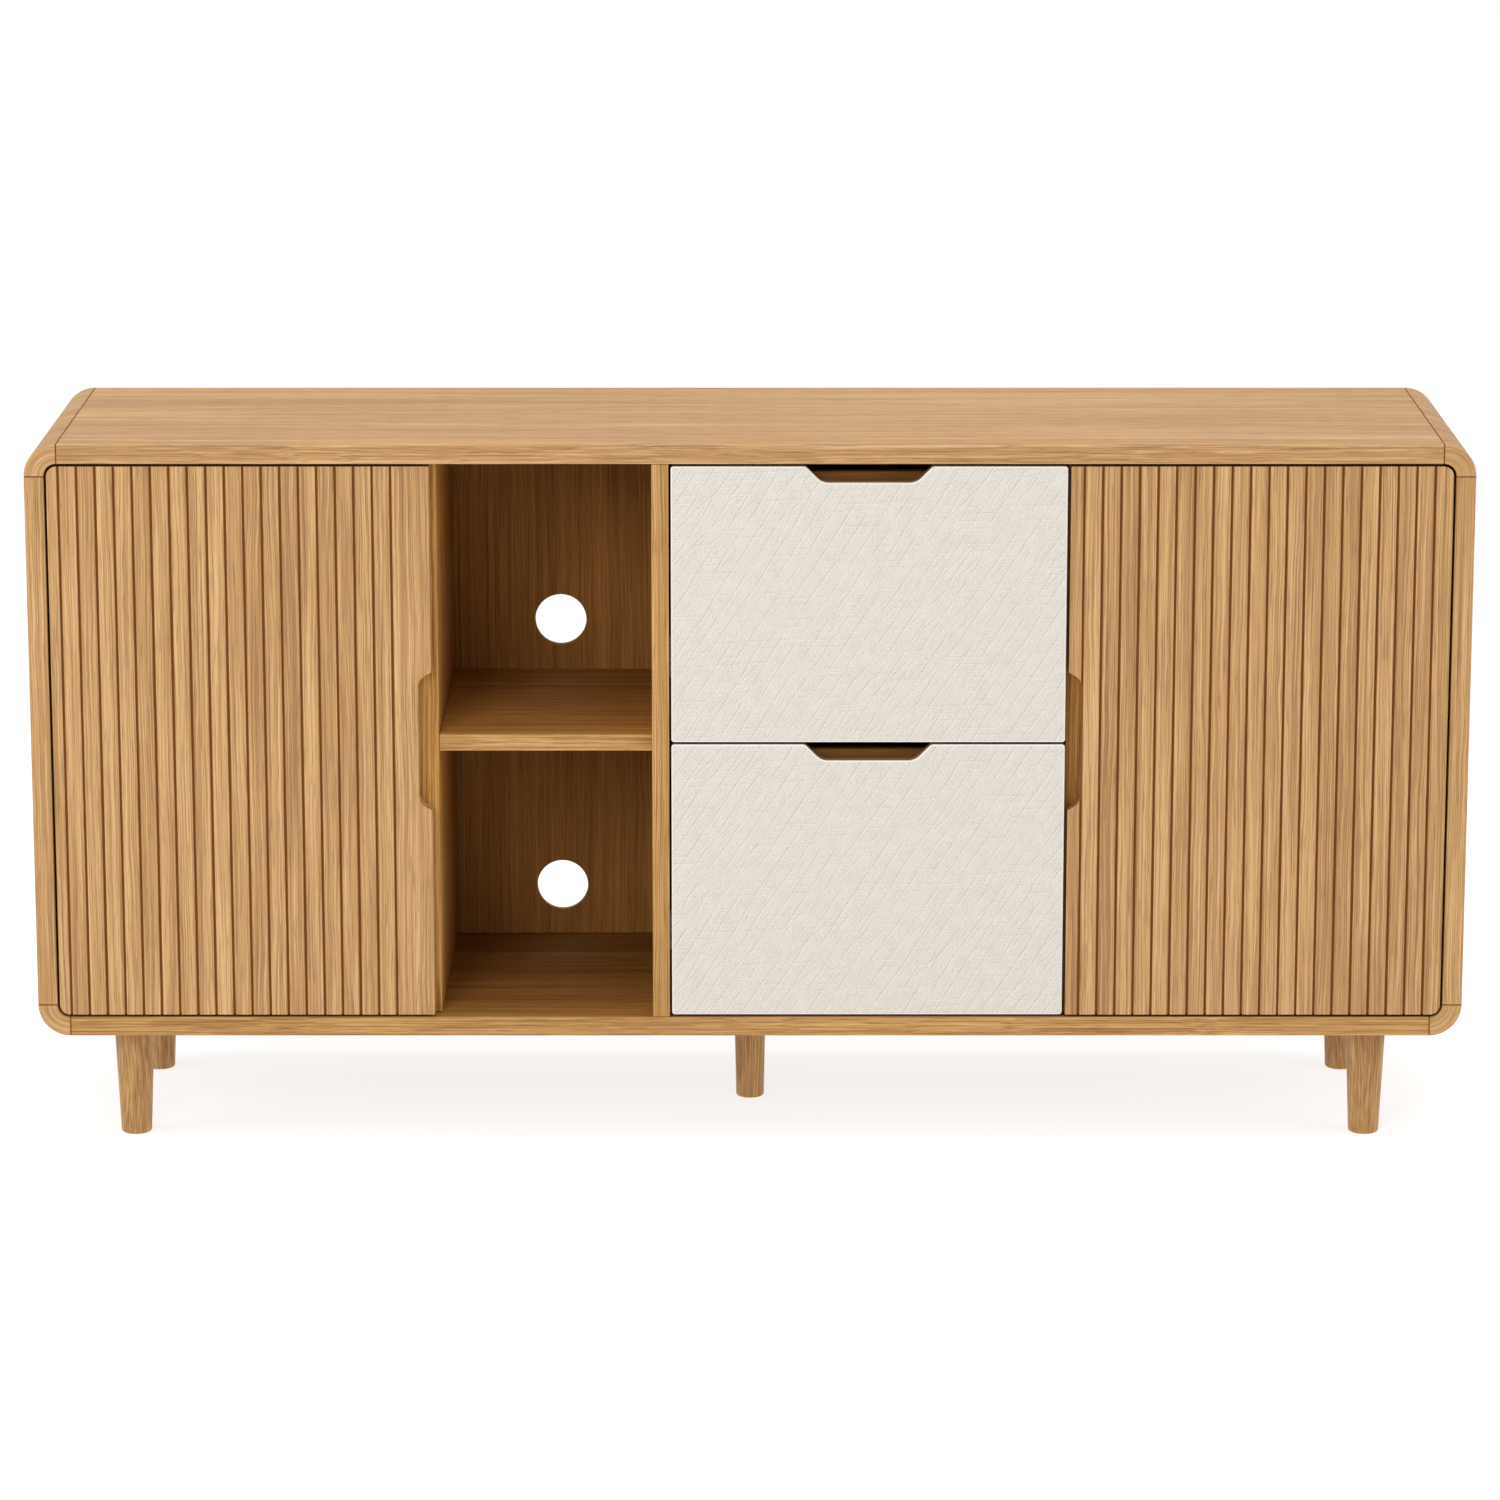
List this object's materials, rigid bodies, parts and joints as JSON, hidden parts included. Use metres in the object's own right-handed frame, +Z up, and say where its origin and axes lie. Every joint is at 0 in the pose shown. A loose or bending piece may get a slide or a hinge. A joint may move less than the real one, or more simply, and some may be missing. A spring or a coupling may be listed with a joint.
{
  "type": "media cabinet",
  "caption": "Low oak media cabinet on turned legs, with fluted doors, an open bay with a shelf and cable holes, and leatherette-fronted drawers.",
  "frame": {"origin": "on the floor, under the middle of the case", "axes": "+X to the right along the case's length, +Y from the front to the rear, +Z up"},
  "size_m": [1.6, 0.4, 0.8],
  "materials": {
    "frame_oak": "oak veneer, clear satin lacquer",
    "corner_oak": "solid oak, clear satin lacquer",
    "door_oak": "fluted solid oak, clear satin lacquer",
    "leg_oak": "turned oak, clear satin lacquer",
    "inner_oak": "oak veneer, darker matt finish",
    "drawer_wood": "plywood, clear matt lacquer",
    "leatherette": "embossed off-white leatherette",
    "slide_steel": "zinc-plated pressed steel",
    "hinge_steel": "nickel-plated"
  },
  "bodies": {
    "case": {"back_panel": "inner_oak", "bay_shelf": "frame_oak", "bottom_board": "frame_oak", "centre_leg": "leg_oak", "front_left_leg": "leg_oak", "front_right_leg": "leg_oak", "left_cabinet_shelf": "inner_oak", "left_lower_hinge_arm": "hinge_steel", "left_partition": "frame_oak", "left_side_panel": "frame_oak", "left_upper_hinge_arm": "hinge_steel", "lower_drawer_left_cabinet_rail": "slide_steel", "lower_drawer_right_cabinet_rail": "slide_steel", "lower_left_corner_block": "corner_oak", "lower_right_corner_block": "corner_oak", "middle_partition": "frame_oak", "rear_left_leg": "leg_oak", "rear_right_leg": "leg_oak", "right_cabinet_shelf": "inner_oak", "right_lower_hinge_arm": "hinge_steel", "right_partition": "frame_oak", "right_side_panel": "frame_oak", "right_upper_hinge_arm": "hinge_steel", "top_board": "frame_oak", "upper_drawer_left_cabinet_rail": "slide_steel", "upper_drawer_right_cabinet_rail": "slide_steel", "upper_left_corner_block": "corner_oak", "upper_right_corner_block": "corner_oak"},
    "left_door": {"left_door": "door_oak", "left_lower_hinge_cup": "hinge_steel", "left_upper_hinge_cup": "hinge_steel"},
    "lower_drawer": {"lower_drawer_back": "drawer_wood", "lower_drawer_bottom": "drawer_wood", "lower_drawer_box_front": "inner_oak", "lower_drawer_cover": "leatherette", "lower_drawer_front_board": "frame_oak", "lower_drawer_left_drawer_rail": "slide_steel", "lower_drawer_left_side": "drawer_wood", "lower_drawer_right_drawer_rail": "slide_steel", "lower_drawer_right_side": "drawer_wood"},
    "lower_drawer_middle_rails": {"lower_drawer_left_middle_rail": "slide_steel", "lower_drawer_right_middle_rail": "slide_steel"},
    "right_door": {"right_door": "door_oak", "right_lower_hinge_cup": "hinge_steel", "right_upper_hinge_cup": "hinge_steel"},
    "upper_drawer": {"upper_drawer_back": "drawer_wood", "upper_drawer_bottom": "drawer_wood", "upper_drawer_box_front": "inner_oak", "upper_drawer_cover": "leatherette", "upper_drawer_front_board": "frame_oak", "upper_drawer_left_drawer_rail": "slide_steel", "upper_drawer_left_side": "drawer_wood", "upper_drawer_right_drawer_rail": "slide_steel", "upper_drawer_right_side": "drawer_wood"},
    "upper_drawer_middle_rails": {"upper_drawer_left_middle_rail": "slide_steel", "upper_drawer_right_middle_rail": "slide_steel"}
  },
  "joints": [
    {"name": "left_door_hinge", "type": "hinge", "parent": "case", "child": "left_door", "pos_m": [-0.7753, -0.2, 0.463], "axis": [0, 0, -1], "range_deg": [0, 105]},
    {"name": "right_door_hinge", "type": "hinge", "parent": "case", "child": "right_door", "pos_m": [0.7753, -0.2, 0.463], "axis": [0, 0, 1], "range_deg": [0, 105]},
    {"name": "upper_drawer_slide", "type": "slide", "parent": "case", "child": "upper_drawer", "axis": [0, -1, 0], "range_m": [0, 0.3]},
    {"name": "upper_drawer_rail_slide", "type": "slide", "parent": "case", "child": "upper_drawer_middle_rails", "axis": [0, -1, 0], "range_m": [0, 0.15]},
    {"name": "lower_drawer_slide", "type": "slide", "parent": "case", "child": "lower_drawer", "axis": [0, -1, 0], "range_m": [0, 0.3]},
    {"name": "lower_drawer_rail_slide", "type": "slide", "parent": "case", "child": "lower_drawer_middle_rails", "axis": [0, -1, 0], "range_m": [0, 0.15]}
  ],
  "couplings": [
    {"joint": "upper_drawer_rail_slide", "follows": "upper_drawer_slide", "ratio": 0.5},
    {"joint": "lower_drawer_rail_slide", "follows": "lower_drawer_slide", "ratio": 0.5}
  ]
}
